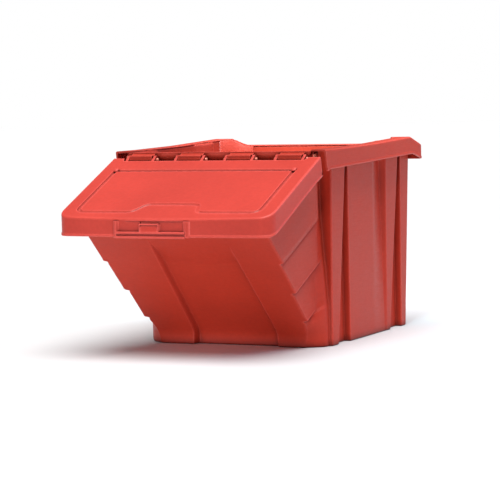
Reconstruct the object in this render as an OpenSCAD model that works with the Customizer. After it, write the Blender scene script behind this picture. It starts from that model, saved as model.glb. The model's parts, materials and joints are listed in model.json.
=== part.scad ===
// Stackable storage bin with a sloping hopper front and a hinged lid.
// Millimetres. X runs across, Y from the front (-) to the back (+), Z up.
// The origin is on the floor, under the middle of the bin's bounding box.

/* [Overall] */
// Width across the rim
overall_w = 400; // [380:1:420]
// Depth from the latch frame to the rear flange
overall_d = 635; // [625:1:645]
// Height of the rear ears above the floor
overall_h = 343; // [340:1:348]
// Wall thickness of every moulding
wall = 3; // [2.5:0.1:3.5]

/* [Rear box] */
// Width at the floor
box_base_w = 348; // [340:1:350]
// Width at the rim
box_top_w = 357; // [354:1:360]
// Front face of the rear box, behind the hopper
box_front_y = -36; // [-40:1:-32]
// Rear wall at the floor
box_rear_base_y = 285; // [280:1:290]
// Rear wall at the rim
box_rear_top_y = 304; // [300:1:306]
// Depth of the wedge grooves in the side walls
groove_depth = 15; // [8:1:18]
// Depth of the concave channel at the rim
channel_depth = 12; // [6:1:14]

/* [Hopper] */
// Front wall at the floor
foot_y = -69; // [-75:1:-60]
// Height of the upright foot
foot_h = 23; // [15:1:30]
// Angle of the front wall from the horizontal
front_angle = 43.3; // [42:0.1:45]
// Half widths of the stepped side walls, from the lowest step up
step_half_w = [149, 156, 163, 168.5];
// Heights of the three steps, measured square to the lid's slope
step_q = [83, 153.3, 226];
// Half width at the floor, where the sides meet the rear box
flare_half_w = 168; // [160:1:170]
// Depth of the recessed panel in the front wall
panel_depth = 11; // [4:1:14]

/* [Rim] */
// Height of the rim at its front ends
rim_z = 335; // [333:1:336]
// Height of the low middle of the rear rim
rear_rim_z = 330; // [328:1:332]
// Front ends of the rim
rim_front_y = -103; // [-105:1:-101]
// Radius of the rim's rear corners
rim_corner_r = 6; // [5:1:12]
// Inner edge of the rear rim
rear_rim_inner_y = 300; // [297:1:301]
// Inner end of each raised ear, from the middle
ear_x = 160; // [152:1:168]
// Depth at which each raised ear is highest
ear_y = 266; // [262:1:268]

/* [Lid] */
// Slope of the lid
lid_angle = 24.3; // [24:0.1:24.6]
// Width of the lid
lid_w = 394; // [392:1:395]
// Height of the lid's top face at its rear corners
lid_rear_z = 323.5; // [323:0.5:324]
// Rear edge of the lid
lid_rear_y = -115; // [-116:1:-114]
// Upright depth of the front skirt
front_skirt = 32; // [28:1:34]
// Upright depth of the side skirts
side_skirt = 37; // [34:1:38]

/* [Hinge] */
// Radius of the hinge pins
pin_r = 3; // [2.5:0.1:3.2]
// Radial clearance of the pins in their bores
pin_gap = 0.05; // [0.02:0.01:0.09]
// Outer radius of the knuckles
knuckle_r = 7.5; // [6.5:0.1:7.5]
// Width of each knuckle on the rail
knuckle_w = 44; // [40:1:46]
// Spacing of the knuckles
knuckle_pitch = 94; // [92:1:95]
// Thickness of each lid tab beside a knuckle
tab_t = 5; // [4:0.5:6]

/* [Hidden] */

bin_red = "#c8352b";
lid_red = "#dc4236";
peg_red = "#e0574a";

front_y = -overall_d / 2;
rear_y = overall_d / 2;
far = 1000;                       // longer than any part of the bin
sin_lid = sin(lid_angle);
cos_lid = cos(lid_angle);
tan_lid = tan(lid_angle);

// Height over the lid's slope: the distance from the origin, square to the slope.
function q_of(y, z) = z * cos_lid - y * sin_lid;
lid_q = q_of(lid_rear_y, lid_rear_z);
flange_gap = 2.5;                 // between the lid's underside and the mouth flange
flange_q = lid_q - wall - flange_gap;
flange_t = 3;

// Height of a slope-parallel plane q at the depth y.
function z_on(q, y) = (q + y * sin_lid) / cos_lid;

// Front wall depth at the height z.
function front_wall_y(z) = foot_y - max(z - foot_h, 0) / tan(front_angle);

neck_half_w = step_half_w[0] + 7; // the hopper's half width at the rear box, under the rim
neck_y = -62;                     // the top of the hopper's sides turns in from here
hopper_back = 10;                 // the hopper's form ends inside the rear box

mouth_z = (flange_q / cos_lid + tan_lid * (foot_y + foot_h / tan(front_angle)))
          / (1 + tan_lid / tan(front_angle));
mouth_y = front_wall_y(mouth_z);

hinge_y = -112;
hinge_z = 320;
knuckle_x = [-1.5, -0.5, 0.5, 1.5] * knuckle_pitch;
pin_l = knuckle_w + 2 * tab_t + 4;
hinge_room_r = 6.5;
tab_gap = 0.6;                    // side play between a tab and its knuckle

pocket_half_w = 176;              // the tub widens round the ends of the hinge rail
pocket_y = [-128, -80];
rail_half = pocket_half_w - wall - 0.4;
rail_front_y = -105;
rivet_r = 2.5;
rivet_y = -97;
rivet_z = 323;

rim_end_z = 327;                  // height of the rim's rear edge, behind the ears
rim_low = [299, 301, 312, 301];   // lower edge of the rim: lug, front, before the corner, rear
rim_bend_y = [-40, 90, 236];      // where the rim starts to rise, and where its slope changes
ear_slope_w = 13;                 // width of the slope on each ear's inner side
ear_front = 22;                   // the ears' gussets start this far in front of their tops
gusset_x = ear_x - 24;            // inner end of each gusset, at the rear rim

lid_notch_half = 171;             // the middle of the lid's rear edge makes room for the rail
skirt_low = z_on(lid_q, front_y + 9) - front_skirt;
skirt_turn_y = -286;              // the lid's side skirts rise from here to the rear
skirt_end_z = 298;                // lower rear corner of the lid's side skirts

latch_x = -17.5;
latch_frame_w = 128;
latch_tab_w = 37;
latch_z = 202;
latch_h = 28;
latch_window = 8;                 // lower edge of the frame's window, above the frame's own

// Extrudes a profile drawn in (Y, Z) across the bin, centred on X = 0.
module across(w) {
    translate([-w / 2, 0, 0]) rotate([90, 0, 90]) linear_extrude(w) children();
}

// Extrudes a profile drawn in (X, Z) from y0 back to y1.
module backward(y0, y1) {
    translate([0, y1, 0]) rotate([90, 0, 0]) linear_extrude(y1 - y0) children();
}

// Extrudes a profile drawn in (X, Q) along the lid's slope, both ways from the origin.
module along_slope(len) {
    rotate([90 + lid_angle, 0, 0]) linear_extrude(len, center = true) children();
}

module both_sides() {
    children();
    mirror([1, 0, 0]) children();
}

// Outline with the right half given from the front to the back.
function mirrored(half) = concat(half, [for (i = [len(half) - 1:-1:0]) [-half[i][0], half[i][1]]]);

// Points of an arc about c from angle a0 to a1.
function arc(c, r, a0, a1, n = 6) =
    [for (i = [0:n]) let (a = a0 + (a1 - a0) * i / n) c + r * [cos(a), sin(a)]];

// ---------------------------------------------------------------- tub

groove_top = rim_z - 20;          // the grooves end under the rim's top

// Half width profile of the hopper's stepped sides, pulled in by t.
module step_profile(t) {
    ledge = 2;                    // half the height of a step's sloping ledge
    lean = 0.6;                   // draft of the side between two steps
    levels = concat([-far / 2], step_q, [far / 2]);
    half = [for (i = [0:3]) each [
        [step_half_w[i] - t - lean, levels[i] + ledge],
        [step_half_w[i] - t, levels[i + 1] - ledge]]];
    polygon(mirrored(half));
}

// Foot, sloping front wall and open mouth of the hopper, with the wall pulled in by t.
module front_profile(t) {
    rise = t / sin(front_angle);
    lip_z = t > 0 ? mouth_z + 40 : mouth_z;
    across(far) polygon([
        [foot_y + t, t], [foot_y + t, foot_h + (rise - t) * tan(front_angle)],
        [front_wall_y(lip_z) + rise, lip_z],
        t > 0 ? [front_wall_y(lip_z) + rise, far] : [rim_front_y, z_on(flange_q, rim_front_y)],
        [rim_front_y, far], [hopper_back, far], [hopper_back, t]]);
}

// Solid form of the hopper, with every wall pulled in by t.
module hopper_form(t) {
    intersection() {
        front_profile(t);
        along_slope(2 * far) step_profile(t);
        // The sides turn in towards the front face of the rear box.
        linear_extrude(far) polygon(mirrored([
            [far, -far], [step_half_w[3] - t, neck_y], [neck_half_w - t, box_front_y],
            [neck_half_w - t, 2 * hopper_back]]));
    }
}

// Widening of the hopper's sides in front of the rear box, broad at the floor.
module side_flare(t) {
    upright = 60;                 // the flare is upright up to this height, then narrows
    run = [27, 19];               // direction of the flare's oblique face
    away = [run[1], -run[0]] / norm(run) * t;
    start = [141, -63] - away;
    intersection() {
        front_profile(t);
        backward(-far, far) polygon(mirrored([
            [flare_half_w - t, t], [flare_half_w - t, upright],
            [neck_half_w - t, z_on(step_q[2], box_front_y)]]));
        linear_extrude(far) polygon(mirrored([
            start - run, start + 2 * run, [far, hopper_back / 2]]));
    }
}

// Solid form of the rear box, with every wall pulled in by t.
module rear_box_form(t) {
    lean_x = (box_top_w - box_base_w) / 2 / rim_z;
    lean_y = (box_rear_top_y - box_rear_base_y) / rim_z;
    intersection() {
        backward(-far, far) polygon(mirrored([
            [box_base_w / 2 - t, t], [box_base_w / 2 - t + lean_x * far, far]]));
        across(far) polygon([
            [box_front_y + t, t], [box_front_y + t, far],
            [box_rear_base_y - t + lean_y * far, far], [box_rear_base_y - t, t]]);
    }
}

// Wedge groove in a side wall: a tapering slot, wide at the floor.
// y_floor and y_rim give its front and back edges at the floor and at the rim.
module wedge_groove(y_floor, y_rim, t) {
    translate([box_top_w / 2 - groove_depth - t, 0, 0])
        rotate([90, 0, 90]) linear_extrude(far)
            polygon([[y_floor[0] - t, -1], [y_floor[1] + t, -1],
                     [y_rim[1] + t, groove_top + t], [y_rim[0] - t, groove_top + t]]);
}

// Concave channel in a side wall, deep at the rim and nearly gone at the floor.
module fading_channel(t) {
    r = 42;
    middle_y = 167;
    floor_depth = 1;
    lean = atan((channel_depth - floor_depth - (box_top_w - box_base_w) / 2) / groove_top);
    translate([box_top_w / 2 + r - channel_depth, middle_y, groove_top + t])
        rotate([0, -lean, 0]) translate([0, 0, -far])
            cylinder(r = r + t, h = far, $fn = 64);
}

// Recessed panel in the sloping front wall.
module front_recess(t) {
    left = [-74, -57];            // left edge at the floor and at the top
    right = 88;
    top = 190;
    back = foot_y + panel_depth + t;
    intersection() {
        backward(-far, far) polygon([
            [left[0] - t, -1], [right + t, -1], [right + t, top], [left[1] - t, top]]);
        across(far) polygon([
            [-far, -1], [back, -1], [back, foot_h],
            [back - (top - foot_h) / tan(front_angle), top], [-far, top]]);
    }
}

// Widening of the hopper's sides round the ends of the hinge rail.
module rail_pocket_form(t) {
    bottom = 297 + t;
    y0 = pocket_y[0] + t;
    y1 = pocket_y[1] - t;
    across(2 * (pocket_half_w - t)) polygon([
        [y0, bottom], [y0, t > 0 ? far : z_on(flange_q, y0)],
        [rim_front_y, t > 0 ? far : z_on(flange_q, rim_front_y)],
        [rim_front_y, far], [y1, far], [y1, bottom]]);
}

module tub_form(t) {
    difference() {
        union() {
            hopper_form(t);
            side_flare(t);
            rail_pocket_form(t);
            rear_box_form(t);
        }
        front_recess(t);
        both_sides() {
            wedge_groove([-11, 38], [22, 31], t);
            wedge_groove([212, 264], [252, 262], t);
            fading_channel(t);
        }
    }
}

// ---------------------------------------------------------------- rim

module rim_plan(t) {
    w = overall_w / 2 - t;
    r = rim_corner_r - t;
    back = rear_y - t;
    polygon(mirrored(concat([[w, -far]], arc([w - r, back - r], r, 0, 90))));
}

// Everything under the rim's top face, lowered by t: level in front, raised at the rear ears.
module rim_top(t) {
    intersection() {
        across(far) polygon([
            [-far, -far], [-far, rim_z - t], [rim_bend_y[0], rim_z - t],
            [rim_bend_y[1], rim_z + 2 - t], [rim_bend_y[2], overall_h - 1 - t],
            [ear_y, overall_h - t], [rear_y, rim_end_z - t], [rear_y, -far]]);
        union() {
            backward(-far, ear_y - ear_front) square([far, 2 * far], center = true);
            backward(ear_y - ear_front - 1, far) polygon(mirrored([
                [far, -far], [far, far], [ear_x, far], [ear_x, overall_h - t],
                [ear_x - ear_slope_w, rear_rim_z - t], [0, rear_rim_z - t]]));
        }
    }
}

// Solid form of the rim: the plan, between its top face and its lower edge.
module rim_form(t) {
    intersection() {
        linear_extrude(far) rim_plan(t);
        rim_top(t);
        across(far) polygon([
            [rim_front_y - t, rim_z], [rim_front_y + 6 - t, rim_low[0] - 2 * t],
            [rim_front_y + 12, rim_low[1] - 2 * t], [275, rim_low[2] - 2 * t],
            [rear_y, rim_low[3] - 2 * t], [rear_y, far], [rim_front_y - t, far]]);
    }
}

// Opening through the rim's top, with a gusset under each rear ear.
module rim_opening() {
    inner_half_w = box_top_w / 2 - wall - 0.5;
    linear_extrude(far) polygon(mirrored([
        [pocket_half_w - wall, -far], [pocket_half_w - wall, neck_y],
        [inner_half_w, box_front_y], [inner_half_w, ear_y - ear_front - 2],
        [ear_x - 8, ear_y + 10], [gusset_x, rear_rim_inner_y]]));
}

// Flange round the mouth of the hopper, under the lid.
module mouth_flange() {
    side = lid_w / 2 - wall - 4;
    difference() {
        intersection() {
            along_slope(2 * far) polygon([
                [-side, flange_q - flange_t], [side, flange_q - flange_t],
                [side, flange_q], [-side, flange_q]]);
            linear_extrude(far) polygon(mirrored([
                [side - 24, mouth_y - 5], [side, mouth_y + 18],
                [side, hinge_y - 10], [0, hinge_y - 10]]));
        }
        tub_form(wall);
    }
}

module bin_body() {
    color(bin_red) difference() {
        union() {
            difference() {
                // The walls end inside the rim's top plate.
                intersection() {
                    tub_form(0);
                    rim_top(1);
                }
                tub_form(wall);
            }
            difference() {
                rim_form(0);
                rim_form(wall);
                rim_opening();
            }
            mouth_flange();
        }
        both_sides()
            translate([rail_half - 2, rivet_y, rivet_z]) rotate([0, 90, 0])
                cylinder(r = rivet_r + pin_gap, h = 12, $fn = 48);
        // Room for the lid's rear corners to turn about the hinge.
        translate([0, hinge_y, hinge_z]) x_cylinder(hinge_room_r, far);
    }
}

// ---------------------------------------------------------------- hinge

module x_cylinder(r, l) {
    rotate([0, 90, 0]) cylinder(r = r, h = l, center = true, $fn = 48);
}

module hinge_rail() {
    top = rim_z - 3;
    plate_t = 4;
    end_t = 4;
    color(bin_red) difference() {
        union() {
            across(2 * rail_half) polygon([
                [rail_front_y, top], [rail_front_y, top - plate_t], [-91, top - plate_t],
                [-91, 303], [-88, 303], [-88, top]]);
            both_sides()
                translate([rail_half - end_t, 0, 0]) rotate([90, 0, 90]) linear_extrude(end_t)
                    polygon([[-103, top], [-103, 314], [-96, 303], [-88, 303], [-88, top]]);
            for (x = knuckle_x)
                translate([x, 0, 0]) {
                    translate([0, hinge_y, hinge_z]) x_cylinder(knuckle_r, knuckle_w);
                    across(knuckle_w) polygon([
                        [hinge_y, hinge_z], [hinge_y + 1, hinge_z + knuckle_r - 0.2],
                        [rail_front_y + 1, top - 1], [-89, top - 1], [-89, 316],
                        [hinge_y + 5, hinge_z - 5]]);
                }
        }
        for (x = knuckle_x)
            translate([x, hinge_y, hinge_z]) x_cylinder(pin_r + pin_gap, knuckle_w + 2);
        both_sides()
            translate([rail_half, rivet_y, rivet_z]) x_cylinder(rivet_r + pin_gap, 20);
    }
}

// Moulded pin through one knuckle and the two lid tabs beside it.
module hinge_pin(i) {
    head = 1;                     // chamfer at each end
    color(peg_red) translate([knuckle_x[i], hinge_y, hinge_z]) {
        x_cylinder(pin_r, pin_l - 2 * head);
        x_cylinder(pin_r - head, pin_l);
    }
}

module hinge_pin_1() { hinge_pin(0); }
module hinge_pin_2() { hinge_pin(1); }
module hinge_pin_3() { hinge_pin(2); }
module hinge_pin_4() { hinge_pin(3); }

// Rivet that holds one end of the rail to the tub, its head inside the rim.
module rail_rivet() {
    shank = 10;
    color(peg_red) translate([pocket_half_w + 0.2, rivet_y, rivet_z]) {
        translate([-shank / 2, 0, 0]) x_cylinder(rivet_r, shank);
        translate([0.8, 0, 0]) x_cylinder(5, 1.6);
        translate([-shank, 0, 0]) x_cylinder(3.8, 1.5);
    }
}

module rail_rivet_right() { rail_rivet(); }
module rail_rivet_left() { mirror([1, 0, 0]) rail_rivet(); }

// ---------------------------------------------------------------- lid

// Plan of the lid, pulled in by t: rounded front corners and a bowed front edge.
module lid_plan(t) {
    w = lid_w / 2 - t;
    r = 24 - t;
    corner_y = front_y + 8.5 + t + r;
    bow = [for (x = [140:-35:0]) [x, front_y + 2.5 + t + 5 * pow(x / 165, 2)]];
    polygon(mirrored(concat(
        [[w - 3, 0], [w, lid_rear_y - 20]],
        arc([w - r, corner_y], r, 0, -85), bow)));
}

// Side profile of the lid's skirt, dropped by t from the top face.
module lid_side(t) {
    top_front = z_on(lid_q - t, front_y - 5);
    back = t > 0 ? 20 : 0;        // the inside runs out through the lid's open rear end
    polygon([
        [front_y - 5, top_front], [front_y - 5, skirt_low - 5 * t],
        [front_y + 16, skirt_low - 5 * t],
        [skirt_turn_y, z_on(lid_q, skirt_turn_y) - side_skirt - 5 * t],
        [lid_rear_y + 4 + back, z_on(lid_q, lid_rear_y + 4) - side_skirt + 4 - 5 * t],
        [lid_rear_y + 7 + back, skirt_end_z - 5 * t],
        [lid_rear_y + back, z_on(lid_q - t, lid_rear_y + back)]]);
}

module lid_form(t) {
    intersection() {
        linear_extrude(far) lid_plan(t);
        across(far) lid_side(t);
    }
}

// Outline of the raised centre panel, pulled in by t, with a notch behind the latch.
module panel_outline(t) {
    x = 168 - t;
    rear = -47 - t;
    front = -194 + t;
    notch_front = -167 + t;
    polygon([
        [-x, rear], [x, rear], [x, front + 10], [x - 8 + t / 2, front], [56 + t, front],
        [48 + t, notch_front], [-46 - t, notch_front], [-60 - t, front], [-x, front]]);
}

// Border line of the raised centre panel, as a frame w wide.
module panel_loop(w) {
    difference() {
        panel_outline(0);
        panel_outline(w);
    }
}

// Frame that guides the latch tongue on the front skirt.
module latch_frame() {
    deep = 14;
    border = 5;
    translate([latch_x, front_y, latch_z]) difference() {
        translate([-latch_frame_w / 2, 0, 0]) cube([latch_frame_w, deep, latch_h]);
        translate([-latch_frame_w / 2 + border, -1, 10])
            cube([latch_frame_w - 2 * border, 6, latch_h - 10 - border + 2]);
        translate([-latch_tab_w / 2 - 1, -1, latch_window])
            cube([latch_tab_w + 2, deep + 20, latch_h - 1 - latch_window]);
    }
}

module lid_panel() {
    slot = knuckle_w / 2 + tab_gap;
    color(lid_red) difference() {
        union() {
            difference() {
                lid_form(0);
                lid_form(wall);
                // The middle of the rear edge stops short of the hinge rail.
                translate([-lid_notch_half, hinge_y - 12, 0]) cube([2 * lid_notch_half, 60, far]);
            }
            intersection() {
                latch_frame();
                across(far) polygon([
                    [-far, 0], [front_y + 9, 0], [front_y + 9, far], [-far, far]]);
            }
            for (x = knuckle_x, side = [-1, 1])
                translate([x + side * (slot + tab_t / 2), 0, 0]) {
                    translate([0, hinge_y, hinge_z]) x_cylinder(knuckle_r, tab_t);
                    across(tab_t) polygon([
                        [-140, z_on(lid_q - 1, -140)], [-122, z_on(lid_q - 1, -122)],
                        [hinge_y - 2, hinge_z + knuckle_r - 0.5], [hinge_y, hinge_z - knuckle_r],
                        [-123.5, z_on(lid_q - 8, -123.5)], [-124.5, z_on(lid_q - wall - 1.5, -124.5)],
                        [-140, z_on(lid_q - wall - 1.5, -140)]]);
                }
        }
        for (x = knuckle_x)
            translate([x, hinge_y, hinge_z]) x_cylinder(pin_r + pin_gap, pin_l + 2);
        // Groove round the centre panel.
        translate([0, lid_rear_y, lid_rear_z]) rotate([lid_angle, 0, 0])
            translate([0, 0, -1]) linear_extrude(5) panel_loop(3);
        translate([latch_x - latch_tab_w / 2 - 1, front_y - 1, latch_z + latch_window])
            cube([latch_tab_w + 2, 20, latch_h - 1 - latch_window]);
    }
}

// Sprung tongue that closes the lid: a plate in the frame with a hook behind it.
module latch_tongue() {
    plate_y = front_y + 3;
    color(lid_red) translate([latch_x, 0, latch_z])
        across(latch_tab_w) polygon([
            [plate_y, 9], [plate_y, 22.5], [plate_y + 2, 23.5], [-306, 23.5], [-304.6, 22.5],
            [-306.5, 20], [plate_y + wall, 20], [plate_y + wall, 9]]);
}

bin_body();
hinge_rail();
hinge_pin_1();
hinge_pin_2();
hinge_pin_3();
hinge_pin_4();
rail_rivet_left();
rail_rivet_right();
lid_panel();
latch_tongue();
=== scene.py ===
"""A stackable storage bin: moulded tub with a sloping hopper, stacking rim, hinged lid and latch.

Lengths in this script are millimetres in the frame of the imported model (X across, front at -Y, Z up)
and are turned into metres when a mesh is made.
"""
import json
import math

import bmesh
import bpy
import numpy as np
from mathutils import Matrix, Vector


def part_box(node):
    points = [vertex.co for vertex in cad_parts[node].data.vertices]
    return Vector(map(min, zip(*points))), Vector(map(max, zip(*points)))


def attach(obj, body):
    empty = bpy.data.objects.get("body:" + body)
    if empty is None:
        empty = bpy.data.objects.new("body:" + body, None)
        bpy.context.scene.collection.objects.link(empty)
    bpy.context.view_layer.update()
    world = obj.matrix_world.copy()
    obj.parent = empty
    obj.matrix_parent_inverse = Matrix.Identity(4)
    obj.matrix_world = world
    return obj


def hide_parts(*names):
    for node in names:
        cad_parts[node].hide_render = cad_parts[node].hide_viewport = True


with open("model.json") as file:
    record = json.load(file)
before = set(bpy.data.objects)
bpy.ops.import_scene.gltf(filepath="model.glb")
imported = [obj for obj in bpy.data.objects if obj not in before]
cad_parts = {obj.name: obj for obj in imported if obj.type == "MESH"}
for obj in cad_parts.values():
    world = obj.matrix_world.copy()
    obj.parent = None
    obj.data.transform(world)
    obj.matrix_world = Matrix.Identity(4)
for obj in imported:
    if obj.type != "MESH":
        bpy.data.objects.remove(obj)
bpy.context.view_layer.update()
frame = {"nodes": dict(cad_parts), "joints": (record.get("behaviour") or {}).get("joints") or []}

MM = 0.001


def node_box(name):
    """Lowest and highest corner of a CAD node in millimetres."""
    low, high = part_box(name)
    return np.array(low) / MM, np.array(high) / MM


# ---------------------------------------------------------------- driving sizes

BODY_HIGH = node_box("bin_body")[1]
LID_HIGH = node_box("lid_panel")[1]
TAB_LOW, TAB_HIGH = node_box("latch_tongue")
HINGE = np.array(frame["joints"][0]["pos_m"]) / MM
PINS = ("hinge_pin_1", "hinge_pin_2", "hinge_pin_3", "hinge_pin_4")
REMODELLED = ("bin_body", "lid_panel", "latch_tongue")     # CAD nodes that finer meshes stand in for

WALL = 3.0                         # thickness of the moulded walls
HALF_W = BODY_HIGH[0]              # outer half width of the rim
REAR_Y = BODY_HIGH[1]              # rearmost edge of the rim
TOP_Z = BODY_HIGH[2]               # top of the rear ears

# A plane parallel to the lid is named by q, its distance from the origin.
SLOPE = math.radians(24.3)         # slope of the lid and of the hopper's ledges
SIN, COS = math.sin(SLOPE), math.cos(SLOPE)
LID_REAR = np.array([-115.0, 323.5])            # depth and height of the lid's rear edge
LID_Q = LID_REAR[1] * COS - LID_REAR[0] * SIN
MOUTH_Q = LID_Q - 6.7              # the hopper's upper edge, inside the mouth flange
MOUTH_END_Y = (-104.5, -99)        # the tub's upper edge rises from the mouth to the rim here
BELOW_HINGE, BELOW_RIM = 6.5, 1.6  # and stays this far below the hinge line and the rim's top

FOOT_Y, FOOT_H = -69.0, 23.0       # face and height of the hopper's upright foot
FOOT_HALF = 136.5                  # its half width
FOOT_BLEND = 64                    # softness of the bend above the foot
BEND_SHIFT = 0.43                  # how much higher the bend is for each millimetre further in
FRONT_RUN = 1 / math.tan(math.radians(43.3))    # how far the front wall leans out for each one up
SIDE_HALF = (149.0, 156.0, 163.0, 168.5)        # half widths of the hopper between its ledges
STEP_Q = (83.0, 153.3, 226.0)      # planes of the ledges
BOX_FRONT_Y = -36.0                # front face of the rear box, beside the hopper
BOX_HALF_BASE, BOX_HALF_TOP = 174.0, 178.5      # its half width at the floor and at the rim
REAR_WALL_BASE, REAR_WALL_TOP = 285.0, 304.0    # its rear wall at the floor and at the rim
RIM_Z = 335.0                      # top of the rim's level front part
RIM_FRONT_Y = -103.0
RIM_RISE_Y = (-40, 90, 236, 266, REAR_Y)        # depths and heights along the rim's top
RIM_RISE_Z = (RIM_Z, RIM_Z + 2, TOP_Z - 1, TOP_Z, 327)
EAR_FRONT_Y = 240                  # behind this the rim's middle lies lower than the ears
EAR_X, EAR_Z = (151, 160), (330, TOP_Z)         # foot and top of the ears' inner slopes


# ---------------------------------------------------------------- outlines

def smooth_step(low, high, value):
    """0 below low, 1 above high and a soft rise between them."""
    u = min(max((value - low) / (high - low), 0.0), 1.0)
    return u * u * (3 - 2 * u)


def mix(a, b, u):
    return a + (b - a) * u


def on_slope(q, y):
    """Height of the plane q, parallel to the lid, at depth y."""
    return (q + y * SIN) / COS


def fillet(before, corner, after, radius, steps):
    """Points of a soft corner that starts and ends at most radius from the corner."""
    to_a, to_b = before - corner, after - corner
    len_a, len_b = np.linalg.norm(to_a), np.linalg.norm(to_b)
    start = corner + to_a * min(radius / max(len_a, 1e-6), 0.45)
    end = corner + to_b * min(radius / max(len_b, 1e-6), 0.45)
    u = np.linspace(0, 1, steps + 1)[:, None]
    return (1 - u) ** 2 * start + 2 * u * (1 - u) * corner + u ** 2 * end


def rounded(corners, radii, steps=4, closed=False):
    """Outline through the corners; a corner with a radius becomes steps + 1 points."""
    corners = np.asarray(corners, float)
    count = len(corners)
    out = []
    for i in range(count):
        inner = closed or 0 < i < count - 1
        if inner and radii[i] > 0:
            out.extend(fillet(corners[i - 1], corners[i], corners[(i + 1) % count], radii[i], steps))
        else:
            out.append(corners[i])
    return np.array(out)


def resampled(points, count):
    """The polyline at evenly spaced places, ends included."""
    points = np.asarray(points, float)
    length = np.concatenate([[0], np.cumsum(np.linalg.norm(np.diff(points, axis=0), axis=1))])
    at = np.linspace(0, length[-1], count)
    return np.stack([np.interp(at, length, points[:, k]) for k in range(points.shape[1])], axis=1)


def grown(outline, distance):
    """A closed outline in a plane moved along its outward normals; it runs anticlockwise."""
    ahead = np.roll(outline, -1, axis=0) - outline
    behind = outline - np.roll(outline, 1, axis=0)
    ahead /= np.maximum(np.linalg.norm(ahead, axis=1), 1e-9)[:, None]
    behind /= np.maximum(np.linalg.norm(behind, axis=1), 1e-9)[:, None]
    tangent = ahead + behind
    tangent /= np.maximum(np.linalg.norm(tangent, axis=1), 1e-9)[:, None]
    normal = np.stack([tangent[:, 1], -tangent[:, 0]], axis=1)
    stretch = 1 / np.maximum((ahead * tangent).sum(axis=1), 0.5)
    return outline + normal * (distance * stretch)[:, None]


# ---------------------------------------------------------------- meshes

NEAR_CORNER = 0.08                  # share of a side at which a support point stands
SUPPORT_Z = 0.3                     # distance of the support rows from a post's ends


class Mould:
    """Collects rings of points and the faces between them, then becomes one piece."""

    def __init__(self):
        self.points = []
        self.faces = []

    def ring(self, points):
        first = len(self.points)
        self.points.extend(np.asarray(points, float))
        return list(range(first, len(self.points)))

    def bridge(self, a, b, closed=True):
        count = len(a)
        for i in range(count if closed else count - 1):
            j = (i + 1) % count
            self.faces.append((a[i], a[j], b[j], b[i]))

    def loft(self, rows, closed=True):
        rings = [self.ring(row) for row in rows]
        for a, b in zip(rings, rings[1:]):
            self.bridge(a, b, closed)
        return rings

    def cap(self, ring):
        self.faces.append(tuple(ring))

    def solid(self, rows):
        """A closed body from rings, capped at both ends."""
        rings = self.loft(rows)
        self.cap(rings[0])
        self.cap(rings[-1])

    def extrusion(self, outline, x0, x1, edge=0.8):
        """An outline in (Y, Z) pushed across from x0 to x1, with soft edges of that width."""
        across = [(x0, -edge), (x0 + 0.3 * edge, -0.3 * edge), (x0 + edge, 0)]
        across += [(x1 - edge, 0), (x1 - 0.3 * edge, -0.3 * edge), (x1, -edge)]
        rows = []
        for x, inset in across:
            shape = grown(outline, inset)
            rows.append(np.column_stack([np.full(len(shape), x), shape]))
        self.solid(rows)

    def bar(self, low, high, edge=1.0, corner=1.2):
        """A rounded block between two corners."""
        shape = [(low[1], low[2]), (high[1], low[2]), (high[1], high[2]), (low[1], high[2])]
        self.extrusion(rounded(shape, [corner] * 4, 3, closed=True), low[0], high[0], edge)

    def upright(self, outline, low, high):
        """A post with the given plan outline; points close to its corners keep its faces flat."""
        corners = np.array(outline, float)
        after = np.roll(corners, -1, axis=0)
        near, far = [mix(corners, after, u) for u in (NEAR_CORNER, 1 - NEAR_CORNER)]
        plan = np.stack([corners, near, far], axis=1).reshape(-1, 2)
        levels = (low, low + SUPPORT_Z, high - SUPPORT_Z, high)
        self.solid([[(x, y, z) for x, y in plan] for z in levels])

    def piece(self, name, body, material, replaces=()):
        mesh = bpy.data.meshes.new(name)
        mesh.from_pydata([tuple(p * MM) for p in self.points], [], self.faces)
        tidy_mesh(mesh)
        mesh.materials.append(material)
        thing = bpy.data.objects.new(name, mesh)
        bpy.context.scene.collection.objects.link(thing)
        flat_normals(thing)
        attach(thing, body)
        if replaces:
            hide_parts(*replaces)
        return thing


def tidy_mesh(mesh):
    """Joins coincident points, drops empty faces and turns every face outwards."""
    work = bmesh.new()
    work.from_mesh(mesh)
    bmesh.ops.remove_doubles(work, verts=work.verts, dist=0.00001)
    bmesh.ops.dissolve_degenerate(work, edges=work.edges, dist=0.000005)
    bmesh.ops.recalc_face_normals(work, faces=work.faces)
    for face in work.faces:
        face.smooth = True
    work.to_mesh(mesh)
    work.free()


def flat_normals(thing):
    """Keeps broad faces flat and lets the narrow corner strips carry the curve."""
    weighted = thing.modifiers.new("weighted", "WEIGHTED_NORMAL")
    weighted.weight = 90
    weighted.keep_sharp = False


def cut(thing, low, high):
    """Cuts a block between two corners out of a piece."""
    block = bpy.data.meshes.new("cutter")
    work = bmesh.new()
    size, centre = (high - low) * MM, (high + low) / 2 * MM
    bmesh.ops.create_cube(work, size=1.0, matrix=Matrix.Translation(centre) @ Matrix.Diagonal((*size, 1)))
    work.to_mesh(block)
    work.free()
    cutter = bpy.data.objects.new("cutter", block)
    bpy.context.scene.collection.objects.link(cutter)
    boolean = thing.modifiers.new("window", "BOOLEAN")
    boolean.operation = "DIFFERENCE"
    boolean.solver = "EXACT"
    boolean.object = cutter
    while thing.modifiers[0] != boolean:
        bpy.context.view_layer.objects.active = thing
        bpy.ops.object.modifier_move_up(modifier=boolean.name)
    bpy.context.view_layer.objects.active = thing
    bpy.ops.object.modifier_apply(modifier=boolean.name)
    bpy.data.objects.remove(cutter)


# ---------------------------------------------------------------- tub

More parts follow.
